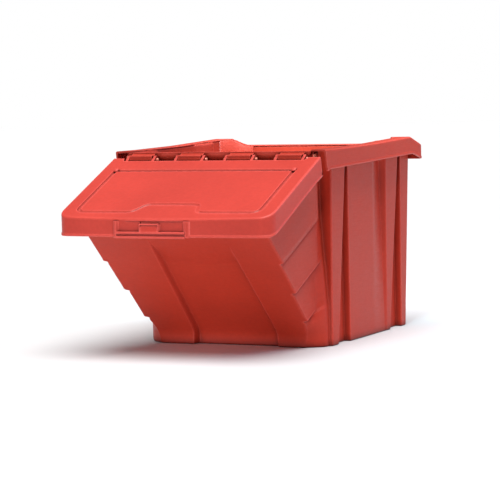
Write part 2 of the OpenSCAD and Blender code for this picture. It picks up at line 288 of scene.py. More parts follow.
def rim_height(x, y):
    """Height of the rim's top face: level in front, rising to the ears, low in the rear's middle."""
    along = np.interp(y, RIM_RISE_Y, RIM_RISE_Z)
    if y < EAR_FRONT_Y:
        return along
    return min(along, np.interp(abs(x), EAR_X, EAR_Z))


def wall_top(x, y):
    """Height of the tub's upper edge: under the lid in front, inside the rim behind."""
    seat = min(on_slope(MOUTH_Q, y), HINGE[2] - BELOW_HINGE)
    behind = rim_height(x, y) - BELOW_RIM
    return mix(seat, behind, smooth_step(*MOUTH_END_Y, y))


def front_wall_y(z, inset):
    """Depth of the front wall: upright at the foot, then leaning forward."""
    above = z - FOOT_H - BEND_SHIFT * inset
    soft = 0.5 * (above + math.sqrt(above * above + FOOT_BLEND))
    return FOOT_Y + inset - soft * FRONT_RUN


class Row:
    """One level of the tub: a share of the way from one height function to another.

    half is the hopper's half width at this level.
    """

    def __init__(self, half, low, high, share):
        self.half = half
        self.low = low
        self.high = high
        self.share = share

    def z(self, x, y):
        return mix(self.low(x, y), self.high(x, y), self.share)

    def front(self, inset, set_back):
        """Depth and height where this level meets the front wall, found by halving."""
        low, high = -5.0, 300.0
        for _ in range(40):
            z = (low + high) / 2
            y = front_wall_y(z, inset) + set_back
            if self.z(0, y) > z:
                low = z
            else:
                high = z
        return y, z


def slope_level(q):
    """Level that follows the lid's slope on the hopper and is flat round the rear box."""
    return lambda x, y: on_slope(q, min(y, BOX_FRONT_Y))


def flat_level(z):
    return lambda x, y: z


LEDGES = ((-8, 0), (-1.4, -1.2), (1.4, 0.5), (9, 0))           # lip and undercut of a ledge: rise, out
STEP_PROFILE = rounded(
    [(q + rise, SIDE_HALF[i + (rise > 0)] + out) for i, q in enumerate(STEP_Q) for rise, out in LEDGES],
    [0] + [0.8, 0.8, 2] * 3 + [0, 0], 2)
LOW_HALF = 148.6                   # half width just below the first ledge
LOW_SHARES = (0.06, 0.14, 0.22, 0.3, 0.38, 0.46, 0.6, 0.8)       # levels from the floor to the ledges
HIGH_SHARES = (0.15, 0.3, 0.45, 0.58, 0.66, 0.72, 0.75, 0.78, 0.81, 0.85, 0.9, 0.95, 1)   # and above


def tub_rows(floor_z):
    """Levels from the floor to the upper edge; the ledges of the hopper's sides are levels too."""
    floor, first = flat_level(floor_z), slope_level(STEP_PROFILE[0][0])
    rows = [Row(mix(FOOT_HALF, LOW_HALF, u), floor, first, u) for u in LOW_SHARES]
    rows += [Row(half, slope_level(q), slope_level(q), 0) for q, half in STEP_PROFILE]
    last = slope_level(STEP_PROFILE[-1][0])
    return rows + [Row(SIDE_HALF[3], last, wall_top, u) for u in HIGH_SHARES]


RECESS_DEPTH = 11.0                # panel pressed into the front wall
RECESS_TOPS = (196.0, 178.0)       # the recess has faded out at these heights, left and right
RECESS_FADE = 34.0                 # and starts to fade this much lower
RECESS_LEFT, RECESS_RIGHT = (-74, -57), (88, 88)              # its sides at the floor and higher up
RECESS_SIDE_Z = 190.0              # the height meant by higher up
RECESS_DRAFT = 5.0
RECESS_EDGE = 1.5
FRONT_CORNER, FOOT_ROUNDING = 4.0, 12.0         # radius of the front corners, and more at the foot
FOOT_ROUNDING_Z = (20, 70)

TURN_Y = (-85.0, -66.0, -70.0, -76.0)           # the side leaves its straight run here, by level
FLARE_Y = -40.0                    # the hopper's sides have turned into the rear box by here
FLARE_Z, FLARE_X = (60, 230), (168, 156)        # half width there, low down and high up
BULGE_Z = (45, 95)                 # below this the flare is round, above it an S
NOOK_RADIUS = 10
POCKET_Y = (-131, -127, -104.5, -99, -81, -77)                # the sides widen round the hinge rail
POCKET_Z, POCKET_DEPTH, POCKET_EDGE = (292, 299), 7.5, 1.2

GROOVES = (((-11, 38), (22, 31)), ((212, 264), (252, 262)))   # depth range at the floor and at the rim
GROOVE_X = BOX_HALF_TOP - 15
GROOVE_TOP = 315.0
GROOVE_FLANK, GROOVE_EDGE = 1.6, 1.2
CHANNEL_Y, CHANNEL_HALF, CHANNEL_DEPTH = 167.0, 30.0, 12.0
CHANNEL_STEPS = (-1, -0.8, -0.6, -0.4, -0.2, 0.05, 0.3, 0.5, 0.68, 0.78, 1)
CHANNEL_RISE = 1.78                # from its front edge to its deepest place, in half widths
CHANNEL_EDGE = 0.9
BOX_CORNER, REAR_CORNER = 3, 3.5
REAR_WALL_X = (158, 137, 120)      # places along the rear wall
FLOOR_RADIUS = (2.5, 4)            # from the floor into the walls, outside and inside


def front_chain(row, inset):
    """Front wall from left to right, with the recessed panel in its middle."""
    y, z = row.front(inset, 0)
    fades = [smooth_step(top - RECESS_FADE, top, z) for top in RECESS_TOPS]
    depth, right_depth = [RECESS_DEPTH * (1 - fade) for fade in fades]
    y_in, z_in = row.front(inset, depth)
    y_right, z_right = row.front(inset, right_depth)
    u = min(z / RECESS_SIDE_Z, 1.05)
    left = mix(*RECESS_LEFT, u) - inset
    right = mix(*RECESS_RIGHT, u) + inset
    half = row.half - inset
    draft = RECESS_DRAFT * depth / RECESS_DEPTH + 0.5
    right_draft = RECESS_DRAFT * right_depth / RECESS_DEPTH + 0.5
    soft = FRONT_CORNER + FOOT_ROUNDING * (1 - smooth_step(*FOOT_ROUNDING_Z, z))
    return [(-half, y, z, soft), (left, y, z, RECESS_EDGE), (left + draft, y_in, z_in, RECESS_EDGE),
            (right - right_draft, y_right, z_right, RECESS_EDGE), (right, y, z, RECESS_EDGE),
            (half, y, z, soft)]


def hopper_side(row, inset, y_front):
    """Right side of the hopper; it flares out or turns in to meet the front face of the rear box."""
    half, pocket_count = row.half, len(POCKET_Y)
    z_back = row.z(half, FLARE_Y)
    corner_x = np.interp(z_back, FLARE_Z, FLARE_X)
    turn_y = max(np.interp(half, SIDE_HALF, TURN_Y), y_front)
    bulge = 1 - smooth_step(*BULGE_Z, z_back)
    places = [max(y, mix(y_front, FLARE_Y, 0.06 * (k + 1))) for k, y in enumerate(POCKET_Y)]
    curve_start = max(turn_y, places[-1] + 0.5)
    places += list(np.linspace(curve_start, FLARE_Y, 10))
    chain = []
    for k, y in enumerate(places):
        u = min(max((y - turn_y) / (FLARE_Y - turn_y), 0), 1)
        out = mix(u * u * (3 - 2 * u), math.sin(u * math.pi / 2), bulge)
        z = row.z(half, y)
        wide = POCKET_DEPTH * smooth_step(*POCKET_Z, z) if 0 < k < pocket_count - 1 else 0
        radius = POCKET_EDGE if k < pocket_count else 0
        chain.append((mix(half, corner_x, out) - inset + wide, y, z, radius))
    chain.append((corner_x - inset, BOX_FRONT_Y + inset, row.z(corner_x, BOX_FRONT_Y), NOOK_RADIUS))
    return chain


def box_side(row, inset):
    """Right side of the rear box, with its wedge grooves and its fading channel."""
    def wall_x(y):
        return mix(BOX_HALF_BASE, BOX_HALF_TOP, row.z(BOX_HALF_TOP, y) / RIM_Z) - inset

    def point(x, y, radius):
        return (x, y, row.z(BOX_HALF_TOP, y), radius)

    def groove(at_floor, at_rim):
        """Wedge that narrows upwards and closes under the rim."""
        z = row.z(BOX_HALF_TOP, at_floor[0])
        u = z / GROOVE_TOP
        fade = 1 - smooth_step(GROOVE_TOP - 8, GROOVE_TOP + 4, z)
        y0 = mix(at_floor[0], at_rim[0], u) - inset
        y1 = mix(at_floor[1], at_rim[1], u) + inset
        bottom = mix(wall_x(y0), GROOVE_X - inset, fade)
        return [point(wall_x(y0), y0, GROOVE_FLANK), point(bottom, y0 + GROOVE_FLANK, GROOVE_EDGE),
                point(bottom, y1 - GROOVE_FLANK, GROOVE_EDGE), point(wall_x(y1), y1, GROOVE_FLANK)]

    def channel():
        """Shallow in front, deepest just before its steep rear flank."""
        z = row.z(BOX_HALF_TOP, CHANNEL_Y)
        depth = mix(1, CHANNEL_DEPTH, min(z / GROOVE_TOP, 1.0))
        chain = []
        for u in CHANNEL_STEPS:
            dip = math.sin((u + 1) / CHANNEL_RISE * math.pi / 2) ** 1.5 if u < 1 else 0
            y = CHANNEL_Y + CHANNEL_HALF * u + inset * (u > 0.7) - inset * (u < -0.9)
            chain.append(point(wall_x(y) - depth * dip, y, CHANNEL_EDGE if abs(u) > 0.7 else 0))
        return chain

    rear = mix(REAR_WALL_BASE, REAR_WALL_TOP, row.z(BOX_HALF_TOP, REAR_WALL_TOP) / RIM_Z) - inset
    chain = [point(wall_x(BOX_FRONT_Y), BOX_FRONT_Y + inset, BOX_CORNER)]
    chain += groove(*GROOVES[0]) + channel() + groove(*GROOVES[1])
    corner_x = wall_x(rear)
    chain.append((corner_x, rear, row.z(corner_x, rear), REAR_CORNER))
    chain += [(x, rear, row.z(x, rear), 0) for x in REAR_WALL_X]
    return chain


def tub_ring(row, inset):
    """One closed level of the tub, pulled in by inset."""
    front = front_chain(row, inset)
    side = hopper_side(row, inset, front[-1][1]) + box_side(row, inset)
    mirrored = [(-x, y, z, r) for x, y, z, r in reversed(side)]
    loop = np.array(front + side + mirrored)
    return rounded(loop[:, :3], loop[:, 3], 4, closed=True)


def floor_rings(z, inset, radius):
    """Levels that curve from the floor up into the walls."""
    rings = []
    for angle in np.radians([0, 22.5, 45, 67.5, 90]):
        level = flat_level(z + radius * (1 - math.cos(angle)))
        row = Row(FOOT_HALF, level, level, 0)
        rings.append(tub_ring(row, inset + radius * (1 - math.sin(angle))))
    return rings


def build_tub(material):
    mould = Mould()
    outer = floor_rings(0, 0, FLOOR_RADIUS[0]) + [tub_ring(row, 0) for row in tub_rows(0)]
    inner = floor_rings(WALL, WALL, FLOOR_RADIUS[1]) + [tub_ring(row, WALL) for row in tub_rows(WALL)]
    mould.solid(outer + inner[::-1])
    return mould.piece("tub", "bin", material, ["bin_body"])


# ---------------------------------------------------------------- rim

RIM_CORNER = 6.0                    # radius of its rear corners
REAR_INNER_Y = 300.0                # its inner edge along the rear
OPENING_X = BOX_HALF_TOP - 3.5      # its inner edge along the sides
LIP = 0.9                           # how far the skirt's lower lip stands proud
SHOULDER = 3.5                      # radius between the top and the skirt
RIM_LEAN, RIM_LEAN_Z = 6, 36        # its front end slants back by 6 over a height of 36
HEM_Y, HEM_Z = (-91, 275, REAR_Y), (301, 312, 301)      # lower edge of the rim's skirt
LUG_DROP, LUG_Y = 2.5, (-97, -88)   # it hangs lower in front
LUG_LIFT, LUG_TIP_Y = 4, (-103.5, -99.5)        # and its very tip is lifted
EAR_INNER = (152, 276)              # middle of the ear's slanted inner edge
GUSSET_LOW, GUSSET_POINTS = 262.0, 26
GUSSET_THICK = (1.2, 1.8)           # across and in depth
SIDE_Y = (RIM_FRONT_Y, -101, -99, -96, -92, -87, -80, -70, -62, -50, -36, -10, 30, 60, 90, 130, 165,
          200, 220, 236)
EAR_SIDE_Y = (242, 250, 258, 264, 268, 275, 282, 288, 292, 300, 306)
EAR_REAR_X = (188, 180, 172, 165, 160, 155, 150, 147, 142, 136)
REAR_STATIONS_X = (132, 120, 80, 40, 0)


def rim_stations():
    """Places round the right half of the rim: inner edge, outer edge and outward direction."""
    stations = []
    for y in SIDE_Y:
        inner_x = np.interp(y, [-62, BOX_FRONT_Y], [173, OPENING_X])
        stations.append(((inner_x, y), (HALF_W, y), (1, 0)))
    turn = np.radians(np.linspace(0, 90, 9))
    arc = np.column_stack([HALF_W - RIM_CORNER * (1 - np.cos(turn)),
                           REAR_Y - RIM_CORNER * (1 - np.sin(turn))])
    before = [(HALF_W, y) for y in EAR_SIDE_Y]
    after = [(x, REAR_Y) for x in EAR_REAR_X]
    outer = np.vstack([before, arc, after])
    inner = resampled([(OPENING_X, 242), EAR_INNER, (136, REAR_INNER_Y)], len(outer))
    centre = np.array([HALF_W - RIM_CORNER, REAR_Y - RIM_CORNER])
    for a, b in zip(inner, outer):
        away = np.maximum(b - centre, 0)
        stations.append((a, b, away / np.linalg.norm(away)))
    stations += [((x, REAR_INNER_Y), (x, REAR_Y), (0, 1)) for x in REAR_STATIONS_X]
    return stations


def skirt_bottom(y):
    """Height of the rim's lower edge, with the lug at its front end."""
    level = np.interp(y, HEM_Y, HEM_Z)
    return level - LUG_DROP * (1 - smooth_step(*LUG_Y, y)) + LUG_LIFT * (1 - smooth_step(*LUG_TIP_Y, y))


def rim_section(inner, outer, away):
    """Closed cross-section of the rim at one station."""
    inner, outer, away = np.array(inner), np.array(outer), np.array(away)
    face = outer - away * LIP
    shoulder = face - away * SHOULDER
    length = np.linalg.norm(shoulder - inner)
    edge_z = rim_height(*outer)
    bottom = skirt_bottom(outer[1])
    lean = RIM_LEAN * (1 - smooth_step(RIM_FRONT_Y, -82, outer[1]))

    def at(place, z):
        return (place[0], place[1] + lean * (RIM_Z - z) / RIM_LEAN_Z, z)

    top = []
    for u in np.linspace(1.2 / length, 1, 12):
        place = mix(inner, shoulder, u)
        top.append((place, rim_height(*place)))
    first = top[0][1]
    section = [at(inner, first - WALL), at(inner, first - 1.2)]
    section.append(at(mix(inner, top[0][0], 0.3), first - 0.35))
    section += [at(*spot) for spot in top]
    for angle in np.radians([70, 50, 30, 12]):
        out, drop = SHOULDER * math.cos(angle), SHOULDER * (1 - math.sin(angle))
        section.append(at(shoulder + away * out, edge_z - drop))
    skirt = [(0, edge_z - 5), (0, bottom + 5.4), (0.25 * LIP, bottom + 4.3), (LIP, bottom + 3.2),
             (LIP, bottom + 1), (0.5 * LIP, bottom + 0.2), (-0.6, bottom), (-2.2, bottom),
             (-2.9, bottom + 0.6), (-3, bottom + 2), (-3, edge_z - 5.5), (-4.5, edge_z - 3.2)]
    section += [at(face + away * step, z) for step, z in skirt]
    section += [at(place, z - WALL) for place, z in reversed(top[1:-1])]
    return np.array(section)


def build_rim(material):
    mould = Mould()
    right = [rim_section(*station) for station in rim_stations()]
    left = [section * (-1, 1, 1) for section in reversed(right[:-1])]
    mould.solid(right + left)
    return mould.piece("rim", "bin", material)


def build_ear_gussets(material):
    """Slanting walls that close the rear corners under the raised ears."""
    def plan(z):
        """Outline of the right gusset, kept inside the leaning walls at height z."""
        side_x = mix(BOX_HALF_BASE, BOX_HALF_TOP, z / RIM_Z) - WALL
        rear_y = mix(REAR_WALL_BASE, REAR_WALL_TOP, z / RIM_Z) - WALL
        inner = resampled([(side_x, 240), EAR_INNER, (134, rear_y)], GUSSET_POINTS)
        return np.vstack([inner, inner[::-1] + GUSSET_THICK])

    mould = Mould()
    for side in (-1, 1):
        low = [(side * x, y, GUSSET_LOW) for x, y in plan(GUSSET_LOW)]
        high = [(side * x, y, rim_height(x, y) - 2) for x, y in plan(RIM_Z)]
        mould.solid([low, high])
    return mould.piece("ear_gussets", "bin", material)


FLANGE_BELOW = 5.5                  # from the lid's top plane to the flange's
FLANGE_SECTION = ((0.03, 0), (0.94, 0), (0.98, 0.4), (1, 1.2), (1, 2.2), (0.97, 3), (0, 3), (0, 1))


def build_mouth_flange(material):
    """Flat flange round the hopper's mouth, on which the lid rests."""
    side, corner_y, front_y = LID_HIGH[0] - 7, -278, -300.5
    rear_y = HINGE[1] - 10
    wall_x, wall_y = SIDE_HALF[3] - WALL, front_wall_y(234, WALL)
    front_x = side - LID_CORNER
    outer = rounded([(side, rear_y), (side, corner_y), (front_x, front_y), (-front_x, front_y),
                     (-side, corner_y), (-side, rear_y)], [0, 8, 8, 8, 8, 0])
    inner = rounded([(wall_x, rear_y), (wall_x, wall_y + 1), (wall_x - 1, wall_y), (1 - wall_x, wall_y),
                     (-wall_x, wall_y + 1), (-wall_x, rear_y)], [0, 2, 2, 2, 2, 0])
    q = LID_Q - FLANGE_BELOW

    def row(share, drop):
        """Line at a share of the way out from the wall, below the flange's top by drop."""
        spots = mix(inner, outer, share)
        return [(x, y, on_slope(q - drop, y)) for x, y in spots]

    rows = [row(*spot) for spot in FLANGE_SECTION]
    mould = Mould()
    rings = mould.loft(rows, closed=False)
    mould.bridge(rings[-1], rings[0], closed=False)
    mould.cap([ring[0] for ring in rings])
    mould.cap([ring[-1] for ring in rings])
    return mould.piece("mouth_flange", "bin", material)


# ---------------------------------------------------------------- lid

LID_HALF = LID_HIGH[0]
LID_CORNER = 24.0                   # radius of the front corners
LID_FRONT_Y = -315.0                # middle of the front edge
LID_BOW, LID_BOW_X = 5, 165         # the front edge lies 5 further back this far from the middle
SKIRT_Y = (-301.5, -286, -111)      # depths and heights along the skirt's lower edge
SKIRT_Z = (204.1, 209.3, 292.3)
EDGE_RADIUS, EDGE_FACE = 2.6, -1.0  # roundness of the lid's edge; face of its skirt, inside the lip
NOTCH_HALF, NOTCH_Y = 171.0, -124.0             # the rear edge is set back for the hinge rail
REAR_X = (0, 30, 60, 90, 115, 135, 150, 158, 163, 166.5, 169)
REAR_END_X = (175.5, 177, 179.5, 182, 185, 188, 190.8, 192.6)
NOTCH_RIGHT, NOTCH_LEFT = (57, 50), (-62, -46)  # flanks of the latch's notch in the centre panel
LOOP_HALF, LOOP_REAR, LOOP_FRONT, LOOP_NOTCH = 168.0, 47.0, 194.0, 167.0    # the centre panel
LOOP_REAR_X = (0, 30, 60, 90, 115, 135, 148, 155, 159, 162, 164)
LOOP_CUT = (9, 10)                  # its front corners are cut by this much, across and down
GROOVE_SECTION = ((-3.6, 0), (-3.1, 0.3), (-2.4, 2.6), (2.4, 2.6), (3.1, 0.3), (3.6, 0))
SECTION_COUNTS = (20, 10, 18, 8, 16, 8, 18, 10, 20)     # points round the sides and front
BUMP_PROFILE = ((4.6, -1.5), (4.6, 0.6), (4, 1.7), (2.6, 2.4), (0.8, 2.7))      # radius, rise
PEG_PROFILE = ((3.2, -1.3), (3.3, 0), (3.0, 1.2), (2.2, 2.1), (1.0, 2.6))       # radius, out
TAB_R, TAB_T, TAB_X = 7.5, 5.0, 25.1            # hinge tabs: radius, thickness, place beside a knuckle
KNUCKLE_HALF = 22.0
KNUCKLE_SHAPE = ((-119, 313.4), (-106, 313.4), (-104, 327.8), (-119, 327.8))
RAIL_HALF = node_box("hinge_rail")[1][0] - 1
RAIL_TOP = node_box("hinge_rail")[1][2]
RAIL_SHEET = ((-103.3, 331.6), (-103.3, 326.5), (-102.4, 321), (-100.2, 317), (-96.2, 314.2),
              (-89.2, 313), (-89.2, 311), (-96.8, 312.2), (-101.8, 315.6), (-104.3, 320.4),
              (-105.2, 326), (-104.8, 331))
TURN = np.linspace(0, 2 * math.pi, 20, endpoint=False)
CIRCLE = np.column_stack([np.cos(TURN), np.sin(TURN)])


def down_lid(s):
    """Depth of a place s down the lid's slope from its rear edge."""
    return LID_REAR[0] - s * COS


def lid_front_y(x):
    """Depth of the lid's front edge, which bows forward in the middle."""
    return LID_FRONT_Y + LID_BOW * (x / LID_BOW_X) ** 2


def joined(stretches, counts):
    """One outline from stretches that each get their own number of points."""
    parts = [resampled(points, count + 1)[:-1] for points, count in zip(stretches, counts)]
    return np.vstack(parts)


def rear_places():
    """Points along the right half of the lid's rear edge, up to the side skirt."""
    level = [(x, NOTCH_Y) for x in REAR_X]
    step = np.linspace((NOTCH_HALF - 0.8, NOTCH_Y), (NOTCH_HALF + 3, LID_REAR[0]), 5)
    return level + [tuple(place) for place in step] + [(x, LID_REAR[0]) for x in REAR_END_X]


def lid_outline():
    """Outer edge of the lid from the middle of its rear, clockwise seen from above."""
    corner = np.array([LID_HALF - LID_CORNER, lid_front_y(LID_HALF - LID_CORNER) + LID_CORNER])
    turn = np.radians(np.linspace(0, 90, 12))
    arc = corner + LID_CORNER * np.column_stack([np.cos(turn), -np.sin(turn)])
    ends = (arc[-1][0], *NOTCH_RIGHT, 0, *reversed(NOTCH_LEFT), -arc[-1][0])
    front = [[(x, lid_front_y(x)) for x in np.linspace(a, b, 9)] for a, b in zip(ends, ends[1:])]
    side = [(LID_HALF, LID_REAR[0]), tuple(arc[0])]
    stretches = [side, arc, front[0], front[1], front[2] + front[3][1:], front[4], front[5]]
    stretches += [[(-x, y) for x, y in reversed(list(part))] for part in (arc, side)]
    rear = rear_places()
    left_rear = [(-x, y) for x, y in reversed(rear[1:] + [side[0]])]
    return np.vstack([rear, joined(stretches, SECTION_COUNTS), left_rear])


def panel_loop():
    """Groove round the centre panel, across and down the lid, with a point for each of the outline's."""
    across, down = LOOP_HALF - LOOP_CUT[0], LOOP_FRONT - LOOP_CUT[1]
    loop = [(LOOP_HALF, LOOP_REAR), (LOOP_HALF, down), (across, LOOP_FRONT),
            (NOTCH_RIGHT[0], LOOP_FRONT), (NOTCH_RIGHT[1], LOOP_NOTCH),
            (NOTCH_LEFT[1], LOOP_NOTCH), (NOTCH_LEFT[0], LOOP_FRONT),
            (-across, LOOP_FRONT), (-LOOP_HALF, down), (-LOOP_HALF, LOOP_REAR)]
    rest = joined([[a, b] for a, b in zip(loop, loop[1:])], SECTION_COUNTS)
    reach = list(LOOP_REAR_X) + list(np.linspace(LOOP_HALF - 3, LOOP_HALF - 0.4, 13))
    right = [(x, LOOP_REAR) for x in reach]
    left = [(-x, LOOP_REAR) for x in reversed(reach[1:] + [LOOP_HALF])]
    return np.vstack([right, rest, left])


def softened_loop(outline, passes):
    """Rounds a closed outline by averaging each point with its neighbours."""
    for _ in range(passes):
        outline = (np.roll(outline, 1, axis=0) + 2 * outline + np.roll(outline, -1, axis=0)) / 4
    return outline


def skirt_low(y):
    """Height of the skirt's lower edge below the lid's outline."""
    return np.interp(y, SKIRT_Y, SKIRT_Z)


def lid_section_rows(outline):
    """Rings from the lid's top border over its edge, down the skirt and back under the top."""
    away = outline - grown(outline, -1)
    away /= np.linalg.norm(away, axis=1)[:, None]
    at_side = np.abs(outline[:, 0]) > LID_HALF - 0.01
    has_skirt = at_side | (outline[:, 1] < NOTCH_Y - 2)
    away[at_side] = np.sign(outline[at_side]) * (1, 0)
    reach = np.where(has_skirt, 1.0, 0.3)[:, None]
    free_end = np.array([smooth_step(LID_REAR[0] - 22, LID_REAR[0], y) for x, y in outline])
    radius, face = EDGE_RADIUS, EDGE_FACE

    def ring(out, height):
        """Points out from the edge; height(x, y) is their height."""
        return np.array([(x, y, height(x, y)) for x, y in outline + away * reach * out])

    def skirt_ring(out, share, lift):
        """share 0 is the top of the skirt, 1 its lower edge; lift raises it by millimetres."""
        rows = []
        for (x, y), (ax, ay), skirt, end in zip(outline, away, has_skirt, free_end):
            top = on_slope(LID_Q, y)
            if not skirt:
                rows.append((x - 0.3 * ax, y - 0.3 * ay, top - mix(1.2, WALL, share)))
                continue
            low = skirt_low(y)
            z = max(mix(top - radius, low + lift, share), low)
            overhang = end * np.interp(top - z, [0, 25.5, 31.2], [0, 7, 4])
            rows.append((x + ax * out, y + ay * out + overhang, z))
        return np.array(rows)

    def plane(x, y):
        return on_slope(LID_Q, y)

    def under(x, y):
        return on_slope(LID_Q - WALL, y)

    rows = [ring(face - radius, plane)]
    for angle in np.radians([65, 40, 18]):
        lower = radius * (1 - math.sin(angle))
        rows.append(ring(face - radius * (1 - math.cos(angle)), lambda x, y: plane(x, y) - lower))
    rows.append(skirt_ring(face, 0, 0))
    rows += [skirt_ring(face, 1, 4.6), skirt_ring(face + 0.3, 1, 3.8), skirt_ring(0, 1, 3),
             skirt_ring(0, 1, 1), skirt_ring(face + 0.4, 1, 0.2), skirt_ring(face - 0.8, 1, 0),
             skirt_ring(face - 2.2, 1, 0), skirt_ring(face - 2.9, 1, 0.6), skirt_ring(face - 3, 1, 2)]
    rows.append(ring(face - 3, lambda x, y: under(x, y) - 0.8))
    rows.append(ring(face - 3.2, under))
    return rows


def riser_fade(x, s):
    """The groove all but vanishes on the right flank of the notch."""
    outer_x, inner_x = NOTCH_RIGHT
    on_flank = smooth_step(inner_x - 2, inner_x, x) * (1 - smooth_step(outer_x, outer_x + 2, x))
    return 1 - 0.75 * on_flank * smooth_step(LOOP_NOTCH, LOOP_NOTCH + 3, s) * (s < LOOP_FRONT - 1)


def build_lid(material):
    outline = lid_outline()[::-1]
    flat_loop = softened_loop(panel_loop(), 4)[::-1]
    fade = [riser_fade(x, s) for x, s in flat_loop]
    loop = np.column_stack([flat_loop[:, 0], [down_lid(s) for s in flat_loop[:, 1]]])
    rows = []
    for out, drop in GROOVE_SECTION:
        shape = grown(loop, out)
        rows.append(np.array([(x, y, on_slope(LID_Q - drop * f, y)) for (x, y), f in zip(shape, fade)]))
    mould = Mould()
    mould.solid(rows + lid_section_rows(outline))
    lid = mould.piece("lid", "lid", material, ["lid_panel"])
    window = np.array([TAB_LOW[0] + 1, -325, 221]), np.array([TAB_HIGH[0] - 2, -300, 229.6])
    relief = np.array([TAB_LOW[0] - 43, -325, 205.5]), np.array([TAB_HIGH[0] + 43, -313.2, 229.6])
    for low, high in (window, relief):
        cut(lid, low, high)
    return lid


def build_bumps(material):
    """Small round bumps at the rear corners of the centre panel."""
    mould = Mould()
    for side in (-1, 1):
        middle = np.array([side * (LOOP_HALF - 1), down_lid(LOOP_REAR - 1)])
        rows = []
        for radius, rise in BUMP_PROFILE:
            spots = middle + radius * CIRCLE
            rows.append([(x, y, on_slope(LID_Q + rise, y)) for x, y in spots])
        mould.solid(rows)
    return mould.piece("lid_bumps", "lid", material)


def pin_middle(pin):
    """Where a pin's middle is, across the bin."""
    low, high = node_box(pin)
    return (low[0] + high[0]) / 2


def below_lid(y, drop):
    """Depth and height of a place under the lid's top plane."""
    return (y, on_slope(LID_Q - drop, y))


def build_hinge_tabs(material):
    """Tabs that carry the lid on the pins, one on each side of every knuckle."""
    y, z = HINGE[1], HINGE[2]
    turn = np.radians(np.linspace(-90, 100, 14))
    eye = np.column_stack([y + TAB_R * np.cos(turn), z + TAB_R * np.sin(turn)])
    arm_low = [below_lid(-140, 4.5), below_lid(-124.5, 4.5), below_lid(-123.5, 8)]
    arm_high = [below_lid(-122, 0.6), below_lid(-140, 0.6)]
    outline = np.vstack([arm_low, eye, arm_high])
    mould = Mould()
    for pin in PINS:
        for side in (-1, 1):
            middle = pin_middle(pin) + side * TAB_X
            mould.extrusion(outline, middle - TAB_T / 2, middle + TAB_T / 2, 0.7)
    return mould.piece("lid_hinge_tabs", "lid", material)


def build_knuckle_covers(material):
    """Square fronts of the rail's knuckles."""
    outline = rounded(KNUCKLE_SHAPE, [2, 2, 1, 1.6], 3, closed=True)
    mould = Mould()
    for pin in PINS:
        middle = pin_middle(pin)
        mould.extrusion(outline, middle - KNUCKLE_HALF, middle + KNUCKLE_HALF, 0.6)
    return mould.piece("knuckle_covers", "bin", material)


def build_peg_heads(material):
    """Domed ends of the hinge pins."""
    mould = Mould()
    for pin in PINS:
        low, high = node_box(pin)
        for x, side in ((low[0], -1), (high[0], 1)):
            rows = []
            for radius, out in PEG_PROFILE:
                ring = HINGE[1:] + radius * CIRCLE
                rows.append([(x + side * out, y, z) for y, z in ring])
            mould.solid(rows)
    return mould.piece("peg_heads", "bin", material)


FRAME_TOP = 230.5
FRAME_FRONT, FRAME_BACK = -317.3, -312
FRAME_REACH = 45.5                 # from the tab to the ridges on both sides


def build_latch_frame(material):
    """Frame round the latch tab on the front skirt: two soft ridges, and two lips with a floor between."""
    left, right = TAB_LOW[0] - FRAME_REACH, TAB_HIGH[0] + FRAME_REACH
    front, back = FRAME_FRONT, FRAME_BACK
    mould = Mould()
    mould.upright([(left - 3.4, -313.4), (left, -316), (left + 1.4, -316.5), (left + 3.2, -316.3),
                   (left + 7.6, -312.8), (left + 3, back)], 202.6, FRAME_TOP)
    mould.upright([(right - 3.8, -312.8), (right - 1, -315.6), (right + 1, -315.9), (right + 3, -315.7),
                   (right + 11, -313), (right + 2, back)], 203.4, FRAME_TOP)
    mould.bar((left + 2, front, 202.2), (right + 1, back, 206.3), 0.8, 1.3)
    mould.bar((left + 2, front, 209.1), (right + 1, back, 213.4), 0.8, 1.3)
    mould.bar((left + 3, -315.4, 203.4), (right - 1, -311, 211), 0.5, 0.5)
    return mould.piece("lid_latch_frame", "lid", material)


def build_latch_tab(material):
    """Sprung tab that leans back, with raised bars round its edge and a hook behind it."""
    x0, x1 = TAB_LOW[0], TAB_HIGH[0]
    plate = rounded([(-317.3, 211.4), (-313.4, 211.4), (-313.2, 222.6), (-313, 224.6), (-313.8, 226),
                     (-315.2, 225)], [0.6, 0.4, 0.6, 0.6, 0.8, 0.8], 3, closed=True)
    mould = Mould()
    mould.extrusion(plate, x0, x1, 1.2)
    mould.bar((x0 + 2, -314, 222.4), (x1 - 3, -305.6, 224.8), 0.6, 0.6)
    mould.bar((x0, -316.9, 212), (x0 + 2.2, -314.5, 225.4), 0.8, 0.8)
    mould.upright([(x1 - 2.8, -314), (x1 - 2.6, -317), (x1 - 1.2, -317.2), (x1 + 2.4, -313),
                   (x1 + 1, -312.8)], 211.8, 225.4)
    mould.bar((x0 + 0.5, -316.6, 223.4), (x1 - 0.5, -314, 226.2), 0.9, 0.9)
    return mould.piece("latch_tab", "latch", material, ["latch_tongue"])


def build_rail_lip(material):
    """Front lip of the hinge rail, the trough behind the knuckles and a bead along its top."""
    mould = Mould()
    mould.extrusion(np.array(RAIL_SHEET), -RAIL_HALF, RAIL_HALF, 0.3)
    mould.bar((-RAIL_HALF, -104.4, RAIL_TOP - 2), (RAIL_HALF, -101, RAIL_TOP + 0.7), 0.6, 1.1)
    return mould.piece("rail_lip", "bin", material)


# ---------------------------------------------------------------- stage

FLOOR_TONE = 0.7
ROUNDING = 0.0045                  # metres: reach of the soft edges that the edge mask looks for
ROUNDING_RANGE = (0.998, 0.95)     # how far a normal turns there, as a cosine, from none to full
SHADE_REACH = 0.014               # metres: reach of the painted shade in hollows
HIGHLIGHT_AIR, SHADE_AIR = (0.72, 0.92), (0.42, 0.92)          # openness over which the painted highlight and the painted shade each rise
HIGHLIGHT_GAIN, HIGHLIGHT_LIFT = 1.45, 0.06  # colour of the painted edge highlight, from the plastic's own
LAMP_WHITE = (1, 1, 1)


